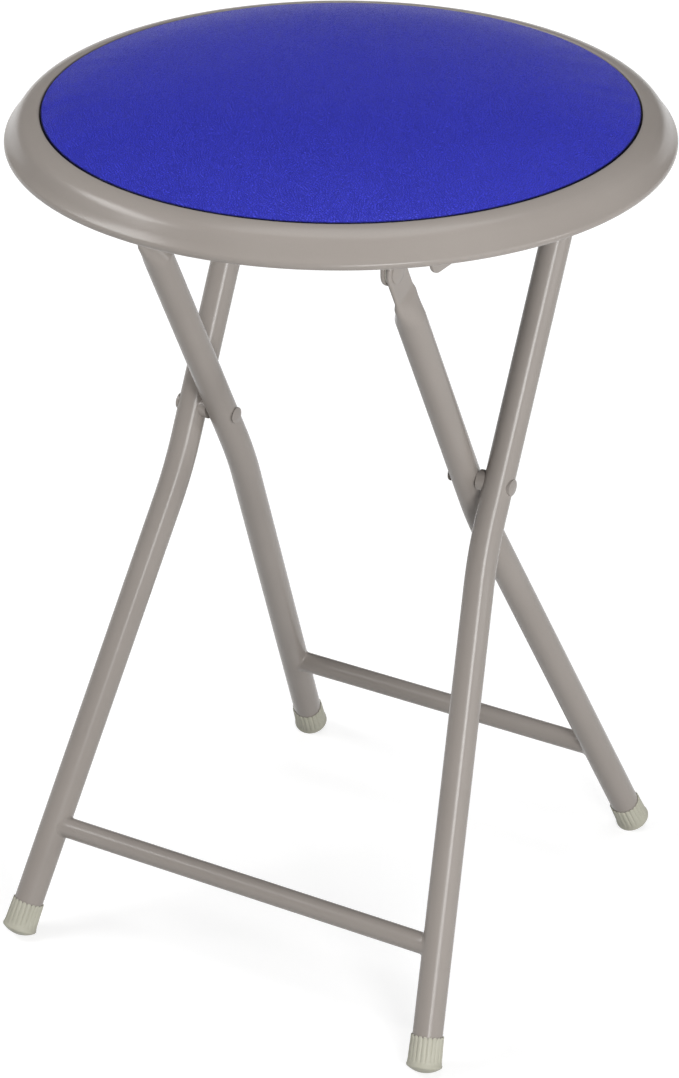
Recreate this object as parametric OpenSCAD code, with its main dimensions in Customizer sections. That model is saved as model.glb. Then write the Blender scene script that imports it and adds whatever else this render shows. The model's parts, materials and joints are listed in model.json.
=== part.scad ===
// Folding stool: a round padded seat on two crossed tube frames.
// Origin on the floor under the middle of the seat, +Z up, the sitter's front towards -Y.
// The inner frame stands on the two rear feet and carries the seat on a hinge in front.
// The outer frame stands on the two front feet, and its cross tube holds up the seat's rear.

/* [Seat] */
// Outer diameter of the pressed rim
rim_d = 320; // [312:1:326]
// Height of the rim's lower edge above the floor
rim_low_z = 421.9; // [410:0.1:440]
// Height of the rim from its lower edge to its inner edge
rim_h = 16.8; // [15:0.1:20]
// Sheet thickness of the rim
rim_t = 1.2; // [0.8:0.1:1.5]
// Diameter of the rim's rolled edge
rim_bead_d = 3; // [2.6:0.1:3.6]
// Width of the ledge inside the rim that carries the board
ledge_w = 8; // [6:0.5:9]
// Width of the rim's shoulder, from its outer edge in to the cushion's well
shoulder_w = 17.2; // [15.2:0.1:20.2]
// Rise of the cushion's middle above its edge
crown_h = 14; // [10:0.5:16]
// Height that the cushion's edge stands below the rim's inner edge
edge_drop = 0.6; // [0.3:0.1:1.5]
// Thickness of the cover
cover_t = 1; // [0.8:0.1:1.2]
// Width of the cover's hem under the board
hem_w = 24; // [20:1:28]
// Thickness of the seat board
board_t = 9; // [8:0.5:10]
// Thickness of the cloth liner under the board
liner_t = 0.5; // [0.3:0.1:0.6]
// Distance from the ledge in to the edge of the cloth liner
liner_inset = 3.8; // [2.8:0.1:9.8]
// Number of staples on each side of the liner
side_staples = 3; // [2:1:3]
// Number of staples along each end of the liner
end_staples = 5; // [3:1:6]

/* [Frames] */
// Outer diameter of the leg tubes
tube_d = 15; // [14:0.5:16]
// Wall of the leg tubes
tube_wall = 1.2; // [1:0.1:1.5]
// Height of the leg pivots above the floor
pivot_z = 259.7; // [255:0.1:264]
// Distance of the leg pivots behind the middle of the seat
pivot_y = 1.8; // [0:0.1:4]
// Distance of the front feet from the middle of the seat
front_foot_y = 123.6; // [120:0.1:128]
// Distance of the rear feet from the middle of the seat
rear_foot_y = 138.9; // [135:0.1:143]
// Distance from the rim's outer edge in to the outer legs above their bends
frame_inset = 72; // [71:0.5:74]
// Half of the outer frame's width at the feet
outer_foot_half_w = 120.6; // [118:0.1:124]
// Half of the inner frame's width at the feet
inner_foot_half_w = 101.9; // [100:0.1:104]
// Length of the spacers between the crossed legs
spacer_l = 3; // [2.5:0.1:4]
// Height of the bends in the legs
bend_z = 229.4; // [226:0.1:233]
// Radius of the bends in the legs
bend_r = 270; // [200:10:320]
// Radius of the outer frame's top corners
corner_r = 26; // [24:1:28]
// Outer diameter of the stretchers
stretcher_d = 10.7; // [9.5:0.1:12]
// Wall of the stretchers
stretcher_wall = 1; // [0.8:0.1:1.4]
// Height of the outer frame's stretcher
outer_stretcher_z = 55.7; // [52:0.1:60]
// Height of the inner frame's stretcher
inner_stretcher_z = 60.5; // [57:0.1:65]

/* [Seat hinge] */
// Distance of the seat's hinge below the rim's lower edge
hinge_drop = 26.6; // [26:0.1:28]
// Thickness of the flattened top of an inner leg
flat_t = 2.4; // [2.2:0.1:3]
// Width of the flattened top of an inner leg
flat_w = 15.5; // [14:0.5:17]
// Length of the flattened top below the hinge
flat_l = 22; // [20:1:24]
// Length over which an inner leg turns from round to flat
flat_blend = 23; // [20:1:26]
// Distance that the flattened top lies outside the tube's axis
flat_shift = 1; // [0.6:0.1:1.4]
// Diameter of the hinge rivets
hinge_rivet_d = 5; // [4:0.5:6]
// Diameter of the hinge rivets' outer heads
hinge_head_d = 11.5; // [10:0.5:12]
// Thickness of the hinge washers
washer_t = 0.8; // [0.6:0.1:1]
// Diameter of the hinge washers
washer_d = 13; // [12:0.5:14]

/* [Seat rails] */
// Sheet thickness of the seat rails
rail_t = 1.8; // [1.6:0.1:2]
// Distance from the rail's top to the lower edge of its flanges
rail_h = 19.2; // [18:0.1:20]
// Gap between the rails' front ends and the rim's ledge
rail_front_gap = 7.5; // [6:0.1:9]
// Gap between the rails' rear ends and the rim's ledge
rail_rear_gap = 6; // [4:0.1:8]
// Rear end of the rails' inner flanges
inner_flange_rear = 58; // [50:1:60]
// Radius of the hinge ears
ear_r = 7.5; // [7:0.1:8]

/* [Catches] */
// Distance between the two catches for the cross tube
catch_gap = 70; // [60:1:76]
// Width of a catch along the cross tube
catch_w = 16; // [12:1:18]
// Thickness of a catch's arms
catch_arm = 4.5; // [4:0.5:5]
// Length of a catch's foot in front of the cross tube
catch_foot = 34; // [28:1:38]
// Thickness of a catch's foot
catch_base = 3.5; // [3:0.1:4]

/* [Leg pivots] */
// Diameter of the pivot rivets
pivot_d = 6; // [5:0.5:6.5]
// Diameter of the pivot rivets' heads
pivot_head_d = 8.8; // [8:0.1:10]
// Height of the rivets' heads
head_h = 2.2; // [1.8:0.1:2.6]
// Outer diameter of the spacers
spacer_d = 10.5; // [9.5:0.5:12]

/* [Feet] */
// Outer diameter of the foot caps' sleeves at their base
cap_d = 17; // [16.6:0.1:17.4]
// Narrowing of the sleeves from base to top
cap_draft = 0.6; // [0:0.1:0.6]
// Diameter of the caps' flared base
cap_base_d = 17.8; // [17.6:0.1:19]
// Radius of the caps' domed bottom
cap_dome_r = 13.8; // [12:0.1:18]
// Length of the caps above the edge of the dome
cap_l = 15.4; // [12:0.1:20]

/* [Screws] */
// Diameter of the wood screws
screw_d = 3.5; // [3:0.1:4]
// Diameter of the screws' heads
screw_head_d = 7; // [6:0.5:8]
// Height of the screws' heads
screw_head_h = 1.8; // [1.5:0.1:2.2]

/* [Clearances] */
// Gap all round a rivet in its hole
pin_gap = 0.05; // [0.03:0.01:0.08]
// Gap beside faces that turn against each other
side_gap = 0.2; // [0.15:0.05:0.3]
// Gap between a seat part and the cross tube that it rests on
rest_gap = 0.3; // [0.25:0.05:0.35]
// Gap round pieces that are pushed or welded together
fit_gap = 0.05; // [0.03:0.01:0.1]
// Gap round the covered cushion in the rim
soft_gap = 0.3; // [0.2:0.05:0.4]

/* [Hidden] */
$fn = 64;

frame_colour = "#968f8a";
cover_colour = "#3a3aaa";
cap_colour = "#b2b2a0";

tube_r = tube_d / 2;
bore_r = tube_r - tube_wall;
cut = 1;

// Lean of each frame from upright, about the line through the leg pivots
outer_lean = atan((pivot_y + front_foot_y) / pivot_z);
inner_lean = atan((rear_foot_y - pivot_y) / pivot_z);

// Heights measured along each frame from the leg pivots
function on_outer(z) = (z - pivot_z) / cos(outer_lean);
function on_inner(z) = (z - pivot_z) / cos(inner_lean);

outer_half_w = rim_d / 2 - frame_inset;
inner_half_w = outer_half_w - tube_d - spacer_l;
outer_splay = atan((outer_foot_half_w - outer_half_w) / on_outer(bend_z + pivot_z));
inner_splay = atan((inner_foot_half_w - inner_half_w) / on_inner(bend_z + pivot_z));

// Heights of the seat's layers
rim_top_z = rim_low_z + rim_h;
ledge_z = rim_low_z + rim_bead_d;
hem_z = ledge_z;
board_z = hem_z + cover_t;
foam_z = board_z + board_t;
edge_z = rim_top_z - edge_drop;
liner_z = hem_z - liner_t;
rail_z = liner_z;
flange_z = rail_z - rail_h;

// Radii of the seat's layers
well_r = rim_d / 2 - shoulder_w;
cushion_r = well_r - soft_gap;
board_r = cushion_r - cover_t - fit_gap;
ledge_r = well_r - ledge_w;
hem_r = cushion_r - hem_w;
liner_r = ledge_r - liner_inset;
staple_r = (liner_r + hem_r) / 2;

// Place of the hinge and of the cross tube
hinge_z = rim_low_z - hinge_drop;
hinge_y = pivot_y - (hinge_z - pivot_z) * tan(inner_lean);
hinge_s = on_inner(hinge_z);
cross_z = rail_z - rail_t - rest_gap - tube_r;
cross_y = pivot_y + (cross_z - pivot_z) * tan(outer_lean);
cross_s = on_outer(cross_z);

// Places across the seat hinge, counted outwards
flat_x = inner_half_w + flat_shift - flat_t / 2;
flat_out_x = flat_x + flat_t;
ear_x = flat_x - washer_t - side_gap - rail_t;
rail_out_x = outer_half_w + tube_r + 6 * side_gap + rail_t;
rail_reach = sqrt(ledge_r * ledge_r - rail_out_x * rail_out_x);
rail_front = rail_reach - rail_front_gap;
rail_rear = rail_reach - rail_rear_gap;

// Screw places
rail_screw_x = (ear_x + rail_out_x) / 2;
rail_screw_ys = [-64, -22, 22, 62];
catch_screw_y = cross_y - catch_arm - tube_r - catch_foot / 2;
rim_screws = 6;
rim_screw_r = ledge_r + ledge_w / 2;
rim_screw_turn = 30;
screw_l = board_t - 1;

function arc(x, y, r, from, to, n) = [for (i = [0 : n]) [x + r * cos(from + (to - from) * i / n),
    y + r * sin(from + (to - from) * i / n)]];
function bezier(a, b, c, d, n) = [for (i = [0 : n]) let (t = i / n, u = 1 - t)
    u * u * u * a + 3 * u * u * t * b + 3 * u * t * t * c + t * t * t * d];
function reverse(list) = [for (i = [len(list) - 1 : -1 : 0]) list[i]];

module in_outer_frame() {
    translate([0, pivot_y, pivot_z]) rotate([-outer_lean, 0, 0]) children();
}

module in_inner_frame() {
    translate([0, pivot_y, pivot_z]) rotate([inner_lean, 0, 0]) children();
}

// side is 1 for the right and -1 for the left, as the sitter's front is seen
module on_side(side) {
    if (side > 0) children();
    else mirror([1, 0, 0]) children();
}

module along_x(x) {
    translate([x, 0, 0]) rotate([0, 90, 0]) children();
}

module pipe(outer, inner, length) {
    difference() {
        cylinder(r = outer, h = length);
        translate([0, 0, -cut]) cylinder(r = inner, h = length + 2 * cut);
    }
}

// Leg from the top of its bend down to the cap, in the plane of its frame
module lower_leg(half_w, splay, bend_s, foot_s, tip_gap) {
    tangent = bend_r * tan(splay / 2);
    end_x = half_w + bend_r * (1 - cos(splay));
    end_s = bend_s + tangent - bend_r * sin(splay);
    run = (end_s - foot_s) / cos(splay) - tip_gap;
    translate([half_w + bend_r, 0, bend_s + tangent]) rotate([90, 0, 0]) rotate([0, 0, 180])
        rotate_extrude(angle = splay) translate([bend_r, 0]) bend_section();
    translate([end_x, 0, end_s]) rotate([0, 180 - splay, 0]) translate([0, 0, -lap])
        pipe(tube_r, bore_r, run + lap);
}

// A bend's wall is a hair thinner than the straight tube's, which laps over its ends
lap = 0.5;
hair = 0.06;
module bend_section() {
    difference() {
        circle(r = tube_r - hair);
        circle(r = bore_r + hair);
    }
}

// Solid line of a leg's lower stretch, which its stretcher is cut to
module leg_line(half_w, splay, bend_s, foot_s, r) {
    translate([half_w, 0, bend_s]) rotate([0, 180 - splay, 0]) cylinder(r = r, h = -foot_s);
}

// Foot cap, its own axis running up from the floor along the leg
module cap(edge_h) {
    base_r = cap_base_d / 2;
    rotate_extrude() difference() {
        union() {
            translate([0, edge_h + dome_rise]) intersection() {
                circle(r = cap_dome_r);
                translate([0, -cap_dome_r - cut]) square([base_r, cap_dome_r + cut - dome_rise + base_edge]);
            }
            translate([0, edge_h + base_edge]) polygon([[0, -cut], [base_r - cut, -cut], [base_r - cut, 0],
                [base_r, 0], [cap_d / 2, base_edge], [(cap_d - cap_draft) / 2, cap_l - base_edge],
                [0, cap_l - base_edge]]);
        }
        translate([-cut, edge_h + cap_floor]) square([tube_r + fit_gap + cut, cap_l]);
    }
}

// Heights along a leg: the edge of the cap's dome above the floor, and the cap's solid floor above that
base_edge = 1.2;
flat_cut = 0.5;
cap_floor = 2;
dome_rise = sqrt(cap_dome_r * cap_dome_r - cap_base_d * cap_base_d / 4);
function cap_edge_h(lean, splay) = (cap_dome_r - flat_cut) / cos(lean) / cos(splay) - dome_rise;

head_edge = 0.5;
// Low dome of full height h on an upright edge
module rivet_head(d, h, edge_h) {
    dome_h = h - edge_h;
    r = (d * d / 4 + dome_h * dome_h) / (2 * dome_h);
    rotate_extrude() intersection() {
        translate([0, h - r]) circle(r = r);
        square([d / 2, h + cut]);
    }
}

module wood_screw(length) {
    translate([0, 0, -fit_gap]) cylinder(d = screw_d, h = length + fit_gap);
    mirror([0, 0, 1]) cylinder(d1 = screw_head_d, d2 = screw_head_d * 0.7, h = screw_head_h);
}

module rail_screw_places() {
    for (side = [-1, 1])
        for (y = rail_screw_ys)
            translate([side * rail_screw_x, y, 0]) children();
}

module catch_screw_places() {
    for (side = [-1, 1])
        translate([side * catch_gap / 2, catch_screw_y, 0]) children();
}

module rim_screw_places() {
    for (i = [0 : rim_screws - 1])
        rotate([0, 0, rim_screw_turn + i * 360 / rim_screws]) translate([rim_screw_r, 0, 0]) children();
}

module screw_holes(low_z, high_z) {
    translate([0, 0, low_z - cut]) {
        rail_screw_places() cylinder(d = screw_d + 2 * fit_gap, h = high_z - low_z + 2 * cut);
        catch_screw_places() cylinder(d = screw_d + 2 * fit_gap, h = high_z - low_z + 2 * cut);
    }
}

module rim_holes(low_z, high_z) {
    translate([0, 0, low_z - cut])
        rim_screw_places() cylinder(d = screw_d + 2 * fit_gap, h = high_z - low_z + 2 * cut);
}

// Section of the rim: a rounded shoulder that flares out to a rolled edge
module seat_rim() {
    bead_r = rim_bead_d / 2;
    bead_x = rim_d / 2 - bead_r;
    bead_z = rim_low_z + bead_r;
    skin = bezier([well_r + rim_t / 2, rim_top_z], [well_r + 8, rim_top_z - 0.2],
        [bead_x - 5, bead_z + bead_r + 3.5], [bead_x, bead_z + bead_r], 14);
    under = [for (p = skin) let (q = p - [0, rim_t * 1.3])
        if (q[0] > well_r + rim_t + hair && q[0] < bead_x - bead_r - hair) q];
    color(frame_colour) difference() {
        rotate_extrude($fn = 180) polygon(concat(
            [[ledge_r, ledge_z - rim_t], [well_r + rim_t, ledge_z - rim_t]],
            [[well_r + rim_t, under[0][1]]], under, arc(bead_x, bead_z, bead_r, 160, 450, 14), reverse(skin),
            arc(well_r + rim_t / 2, rim_top_z - rim_t / 2, rim_t / 2, 105, 180, 4),
            [[well_r, ledge_z], [ledge_r, ledge_z]]));
        rim_holes(ledge_z - rim_t, ledge_z);
    }
}

module seat_board() {
    color("tan") difference() {
        translate([0, 0, board_z]) cylinder(r = board_r, h = board_t, $fn = 180);
        screw_holes(board_z, board_z + screw_l - cut);
        rim_holes(board_z, board_z + screw_l - cut);
    }
}

// Height of the cushion's top at radius x, less a thickness
function crown(x, r) = edge_z + crown_h * pow(1 - pow(x / r, 2.5), 2 / 3);
crown_steps = 18;
function crown_line(r, drop) = [for (i = [0 : crown_steps]) let (x = r * sin(90 * i / crown_steps))
    [x, crown(x, r) - drop]];

module seat_foam() {
    color("khaki") rotate_extrude($fn = 180)
        polygon(concat([[0, foam_z]], crown_line(board_r, cover_t + fit_gap), [[board_r, foam_z]]));
}

module seat_cover() {
    outside = crown_line(cushion_r, 0);
    inside = crown_line(cushion_r - cover_t, cover_t);
    color(cover_colour) difference() {
        rotate_extrude($fn = 180) polygon(concat(outside, [[cushion_r, hem_z], [hem_r, hem_z],
            [hem_r, hem_z + cover_t], [cushion_r - cover_t, hem_z + cover_t]], reverse(inside)));
        rim_holes(hem_z, hem_z + cover_t);
    }
}

module seat_liner() {
    color("#2b2b2b") difference() {
        translate([0, 0, liner_z]) cylinder(r = liner_r, h = liner_t, $fn = 180);
        screw_holes(liner_z, liner_z + liner_t);
    }
}

// Staples through the liner and the hem, in four arcs that keep clear of the rails
staple_w = 9;
staple_leg = 5;
staple_wire = 0.8;
side_arc = acos((rail_out_x + staple_w / 2) / staple_r);
end_arc = asin((rail_rear + staple_w / 2) / staple_r);
side_turns = [for (i = [0 : side_staples - 1]) side_arc * (2 * i / (side_staples - 1) - 1)];
end_turns = [for (i = [0 : end_staples - 1]) end_arc + (180 - 2 * end_arc) * i / (end_staples - 1)];
module liner_staples() {
    color("silver") for (turn = concat(side_turns, end_turns), half = [0, 180])
        rotate([0, 0, turn + half]) translate([staple_r, 0, liner_z - staple_wire])
            difference() {
                translate([-staple_wire / 2, -staple_w / 2, 0])
                    cube([staple_wire, staple_w, staple_wire + staple_leg]);
                translate([-cut, staple_wire - staple_w / 2, staple_wire])
                    cube([2 * cut, staple_w - 2 * staple_wire, staple_leg + cut]);
            }
}

module rim_screws() {
    color("silver") rim_screw_places() translate([0, 0, ledge_z - rim_t]) wood_screw(screw_l);
}

module rail_screws() {
    color("silver") rail_screw_places() translate([0, 0, rail_z - rail_t]) wood_screw(screw_l);
}

// Flange of a rail as a sheet standing along Y, its lower corners rounded
module flange(x, front_y, rear_y, r) {
    translate([x, 0, 0]) rotate([90, 0, 90]) linear_extrude(rail_t)
        polygon(concat([[rear_y, rail_z], [front_y, rail_z]], arc(front_y + r, flange_z + r, r, 180, 270, 8),
            arc(rear_y - r, flange_z + r, r, 270, 360, 8)));
}

module seat_rail(side) {
    corner = 7;
    neck = 26;
    color(frame_colour) on_side(side) difference() {
        union() {
            translate([ear_x, -rail_front, rail_z - rail_t])
                cube([rail_out_x - ear_x, rail_front + rail_rear, rail_t]);
            flange(rail_out_x - rail_t, -rail_front, rail_rear, corner);
            flange(ear_x, hinge_y - ear_r, inner_flange_rear, corner);
            translate([ear_x, 0, 0]) rotate([90, 0, 90]) linear_extrude(rail_t)
                polygon(concat([[hinge_y - ear_r, rail_z]], arc(hinge_y, hinge_z, ear_r, 180, 340, 16),
                    [[hinge_y + neck, flange_z], [hinge_y + neck, rail_z]]));
        }
        translate([0, hinge_y, hinge_z]) along_x(ear_x - cut)
            cylinder(d = hinge_rivet_d + 2 * pin_gap, h = rail_t + 2 * cut);
        for (y = rail_screw_ys)
            translate([rail_screw_x, y, rail_z - rail_t - cut])
                cylinder(d = screw_d + 2 * fit_gap, h = rail_t + 2 * cut);
    }
}

module seat_rail_left() { seat_rail(-1); }
module seat_rail_right() { seat_rail(1); }

// Saddle that the cross tube swings into from below and in front
module catch(side) {
    tube_gap_r = tube_r + rest_gap;
    arm_y = cross_y - tube_gap_r - catch_arm;
    front_y = arm_y - catch_foot;
    rear_y = cross_y + tube_gap_r + catch_arm;
    lead_in = 35;
    low_z = cross_z - tube_r / 2;
    reach = 2 * tube_d;
    top_z = rail_z;
    color("#26282b") difference() {
        translate([side * catch_gap / 2 - catch_w / 2, 0, 0]) rotate([90, 0, 90]) linear_extrude(catch_w)
            difference() {
                polygon([[front_y, top_z], [front_y, top_z - catch_base], [arm_y - catch_base, top_z - catch_base],
                    [arm_y, top_z - 2 * catch_base], [arm_y, low_z], [rear_y, low_z], [rear_y, top_z]]);
                translate([cross_y, cross_z]) polygon(concat(arc(0, 0, tube_gap_r, 0, 180 - lead_in, 24),
                    [tube_gap_r * [-cos(lead_in), sin(lead_in)] - reach * [sin(lead_in), cos(lead_in)],
                    [-reach, -reach], [tube_gap_r, -reach]]));
            }
        catch_screw_places() translate([0, 0, top_z - catch_base - cut])
            cylinder(d = screw_d + 2 * fit_gap, h = catch_base + 2 * cut);
    }
}

module catch_left() { catch(-1); }
module catch_right() { catch(1); }

module catch_screws() {
    color("silver") catch_screw_places() translate([0, 0, rail_z - catch_base]) wood_screw(screw_l);
}

// Oval where a leg is widest, between its round tube and its flattened top
slice = 0.4;
swell_w = 17.4;
swell_t = 5.5;
swell_l = 5;
module swollen_slice() {
    translate([flat_x + flat_t / 2, 0, hinge_s - flat_l - swell_l]) linear_extrude(slice)
        polygon([for (i = [0 : 31]) [swell_t / 2 * cos(i * 360 / 32), swell_w / 2 * sin(i * 360 / 32)]]);
}

// Inner leg: splayed tube, bend, upright tube, then a flattened top with the hinge hole
module inner_leg(side) {
    bend_s = on_inner(bend_z);
    foot_s = on_inner(0);
    top_s = hinge_s - flat_l - flat_blend;
    tangent = bend_r * tan(inner_splay / 2);
    color(frame_colour) in_inner_frame() on_side(side) difference() {
        union() {
            lower_leg(inner_half_w, inner_splay, bend_s, foot_s,
                cap_edge_h(inner_lean, inner_splay) + cap_floor + fit_gap);
            translate([inner_half_w, 0, bend_s + tangent - lap])
                pipe(tube_r, bore_r, top_s - bend_s - tangent + lap);
            hull() {
                translate([inner_half_w, 0, top_s - slice]) cylinder(r = tube_r - hair, h = slice, $fn = 32);
                swollen_slice();
            }
            hull() {
                swollen_slice();
                translate([flat_x, -flat_w / 2, hinge_s - flat_l]) cube([flat_t, flat_w, slice]);
            }
            translate([flat_x, -flat_w / 2, hinge_s - flat_l]) cube([flat_t, flat_w, flat_l]);
            translate([0, 0, hinge_s]) along_x(flat_x) cylinder(d = flat_w, h = flat_t);
        }
        translate([0, 0, hinge_s]) along_x(flat_x - cut)
            cylinder(d = hinge_rivet_d + 2 * pin_gap, h = flat_t + 2 * cut);
        along_x(inner_half_w - tube_d) cylinder(d = pivot_d + 2 * pin_gap, h = 2 * tube_d);
    }
}

module inner_leg_left() { inner_leg(-1); }
module inner_leg_right() { inner_leg(1); }

module outer_leg(side) {
    bend_s = on_outer(bend_z);
    foot_s = on_outer(0);
    tangent = bend_r * tan(outer_splay / 2);
    color(frame_colour) in_outer_frame() on_side(side) difference() {
        union() {
            lower_leg(outer_half_w, outer_splay, bend_s, foot_s,
                cap_edge_h(outer_lean, outer_splay) + cap_floor + fit_gap);
            translate([outer_half_w, 0, bend_s + tangent - lap])
                pipe(tube_r, bore_r, cross_s - corner_r - bend_s - tangent + lap);
        }
        along_x(outer_half_w - tube_d) cylinder(d = pivot_d + 2 * pin_gap, h = 2 * tube_d);
    }
}

module outer_leg_left() { outer_leg(-1); }
module outer_leg_right() { outer_leg(1); }

// Cross tube with its two bent corners, in line with the outer legs
module outer_top_tube() {
    straight = outer_half_w - corner_r;
    color(frame_colour) in_outer_frame() translate([0, 0, cross_s]) {
        along_x(-straight - lap) pipe(tube_r, bore_r, 2 * (straight + lap));
        for (side = [-1, 1])
            on_side(side) translate([straight, 0, -corner_r]) rotate([90, 0, 0])
                rotate_extrude(angle = 90) translate([corner_r, 0]) bend_section();
    }
}

module stretcher(half_w, splay, bend_s, foot_s, s) {
    reach = half_w + (bend_s - s) * tan(splay);
    difference() {
        translate([0, 0, s]) along_x(-reach)
            pipe(stretcher_d / 2, stretcher_d / 2 - stretcher_wall, 2 * reach);
        for (side = [-1, 1])
            on_side(side) leg_line(half_w, splay, bend_s, foot_s, tube_r + fit_gap);
    }
}

module inner_stretcher() {
    color(frame_colour) in_inner_frame()
        stretcher(inner_half_w, inner_splay, on_inner(bend_z), on_inner(0), on_inner(inner_stretcher_z));
}

module outer_stretcher() {
    color(frame_colour) in_outer_frame()
        stretcher(outer_half_w, outer_splay, on_outer(bend_z), on_outer(0), on_outer(outer_stretcher_z));
}

// Cap set on a leg and cut flat where it stands
module foot(lean, splay, foot_half_w, foot_s) {
    intersection() {
        translate([0, pivot_y, pivot_z]) rotate([lean, 0, 0]) translate([foot_half_w, 0, foot_s])
            rotate([0, -splay, 0]) cap(cap_edge_h(lean, splay));
        translate([0, -rear_foot_y - front_foot_y, 0]) cube([rim_d, 2 * (rear_foot_y + front_foot_y), pivot_z]);
    }
}

module inner_foot(side) {
    color(cap_colour) on_side(side) foot(inner_lean, inner_splay, inner_foot_half_w, on_inner(0));
}

module outer_foot(side) {
    color(cap_colour) on_side(side) foot(-outer_lean, outer_splay, outer_foot_half_w, on_outer(0));
}

module inner_foot_left() { inner_foot(-1); }
module inner_foot_right() { inner_foot(1); }
module outer_foot_left() { outer_foot(-1); }
module outer_foot_right() { outer_foot(1); }

module hinge_washer(side) {
    color("white") on_side(side) translate([0, hinge_y, hinge_z]) along_x(flat_x - washer_t) difference() {
        cylinder(d = washer_d, h = washer_t);
        translate([0, 0, -cut]) cylinder(d = hinge_rivet_d + 2 * pin_gap, h = washer_t + 2 * cut);
    }
}

module hinge_washer_left() { hinge_washer(-1); }
module hinge_washer_right() { hinge_washer(1); }

// Rivet through the hinge ear, the washer and the flattened leg
module hinge_rivet(side) {
    tail_d = hinge_rivet_d * 1.6;
    color(frame_colour) on_side(side) translate([0, hinge_y, hinge_z]) {
        along_x(ear_x - side_gap) cylinder(d = hinge_rivet_d, h = flat_out_x - ear_x + side_gap);
        along_x(flat_out_x) rivet_head(hinge_head_d, head_h, head_edge);
        along_x(ear_x - side_gap) mirror([0, 0, 1]) rivet_head(tail_d, head_h, head_edge);
    }
}

module hinge_rivet_left() { hinge_rivet(-1); }
module hinge_rivet_right() { hinge_rivet(1); }

// Rivet through both legs, its outer head hollowed to sit on the outer leg
module pivot_rivet(side) {
    seat_h = tube_r - sqrt(tube_r * tube_r - pivot_head_d * pivot_head_d / 4);
    in_x = inner_half_w - tube_r - side_gap;
    out_x = outer_half_w + tube_r;
    color(frame_colour) on_side(side) {
        translate([0, pivot_y, pivot_z]) {
            along_x(in_x) cylinder(d = pivot_d, h = out_x + head_edge / 2 - in_x);
            along_x(in_x) mirror([0, 0, 1]) rivet_head(pivot_head_d, head_h, head_edge);
        }
        difference() {
            translate([0, pivot_y, pivot_z]) along_x(out_x - seat_h)
                rivet_head(pivot_head_d, seat_h + head_h, seat_h + head_edge);
            in_outer_frame() translate([outer_half_w, 0, -tube_d]) cylinder(r = tube_r + fit_gap, h = 2 * tube_d);
        }
    }
}

module pivot_rivet_left() { pivot_rivet(-1); }
module pivot_rivet_right() { pivot_rivet(1); }

// Spacer between the crossed legs, hollowed to sit on the outer leg
module pivot_spacer(side) {
    seat_h = tube_r - sqrt(tube_r * tube_r - spacer_d * spacer_d / 4);
    in_x = inner_half_w + tube_r + rest_gap;
    out_x = outer_half_w - tube_r + seat_h;
    color(frame_colour) on_side(side) difference() {
        translate([0, pivot_y, pivot_z]) along_x(in_x) difference() {
            cylinder(d = spacer_d, h = out_x - in_x);
            translate([0, 0, -cut]) cylinder(d = pivot_d + 2 * pin_gap, h = out_x - in_x + 2 * cut);
        }
        in_outer_frame() translate([outer_half_w, 0, -tube_d]) cylinder(r = tube_r + fit_gap, h = 2 * tube_d);
    }
}

module pivot_spacer_left() { pivot_spacer(-1); }
module pivot_spacer_right() { pivot_spacer(1); }

seat_rim();
seat_board();
seat_foam();
seat_cover();
seat_liner();
liner_staples();
rim_screws();
seat_rail_left();
seat_rail_right();
rail_screws();
catch_left();
catch_right();
catch_screws();
inner_leg_left();
inner_leg_right();
inner_stretcher();
inner_foot_left();
inner_foot_right();
hinge_washer_left();
hinge_washer_right();
hinge_rivet_left();
hinge_rivet_right();
outer_leg_left();
outer_leg_right();
outer_top_tube();
outer_stretcher();
outer_foot_left();
outer_foot_right();
pivot_rivet_left();
pivot_rivet_right();
pivot_spacer_left();
pivot_spacer_right();
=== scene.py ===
"""The looks of the folding stool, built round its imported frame.

Metres, +Z up, the seat's hinge towards -Y.
"""

import json
import math

import bmesh
import bpy
import numpy as np
from mathutils import Matrix, Vector


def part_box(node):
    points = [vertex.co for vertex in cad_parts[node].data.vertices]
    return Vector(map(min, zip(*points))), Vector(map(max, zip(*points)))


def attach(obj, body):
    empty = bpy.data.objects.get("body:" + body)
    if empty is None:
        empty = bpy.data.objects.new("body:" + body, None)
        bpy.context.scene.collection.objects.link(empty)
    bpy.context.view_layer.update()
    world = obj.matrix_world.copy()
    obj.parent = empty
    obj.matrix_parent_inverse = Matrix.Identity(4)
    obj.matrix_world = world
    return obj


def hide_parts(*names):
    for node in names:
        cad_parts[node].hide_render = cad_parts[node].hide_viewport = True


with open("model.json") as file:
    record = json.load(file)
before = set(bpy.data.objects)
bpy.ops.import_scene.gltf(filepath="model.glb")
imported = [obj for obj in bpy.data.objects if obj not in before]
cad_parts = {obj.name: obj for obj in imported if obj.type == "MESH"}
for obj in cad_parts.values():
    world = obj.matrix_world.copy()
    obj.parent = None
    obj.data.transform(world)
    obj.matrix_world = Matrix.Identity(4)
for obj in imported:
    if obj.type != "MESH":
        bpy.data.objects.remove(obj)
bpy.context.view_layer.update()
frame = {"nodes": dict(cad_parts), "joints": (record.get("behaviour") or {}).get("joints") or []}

# Places and sizes that the frame gives
joints = {joint["name"]: joint for joint in frame["joints"]}
pivot = Vector(joints["leg_pivot"]["pos_m"])
hinge = Vector(joints["seat_hinge"]["pos_m"])
rim_low, rim_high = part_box("seat_rim")
rim_r = rim_high.x
liner_low, liner_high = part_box("seat_liner")
rail_low, rail_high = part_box("seat_rail_right")
catch_low, catch_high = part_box("catch_right")
board_low, board_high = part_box("seat_board")

# Tube frames
tube_r = 0.0075
stretcher_r = 0.00535
front_foot_y = 0.1236
rear_foot_y = 0.1389
outer_half_w = 0.088
inner_half_w = 0.070
outer_foot_half_w = 0.1206
inner_foot_half_w = 0.1019
bend_z = 0.2294
bend_radius = 0.270
corner_radius = 0.026
outer_stretcher_z = 0.0557
inner_stretcher_z = 0.0605
weld_w = 0.0013

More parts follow.
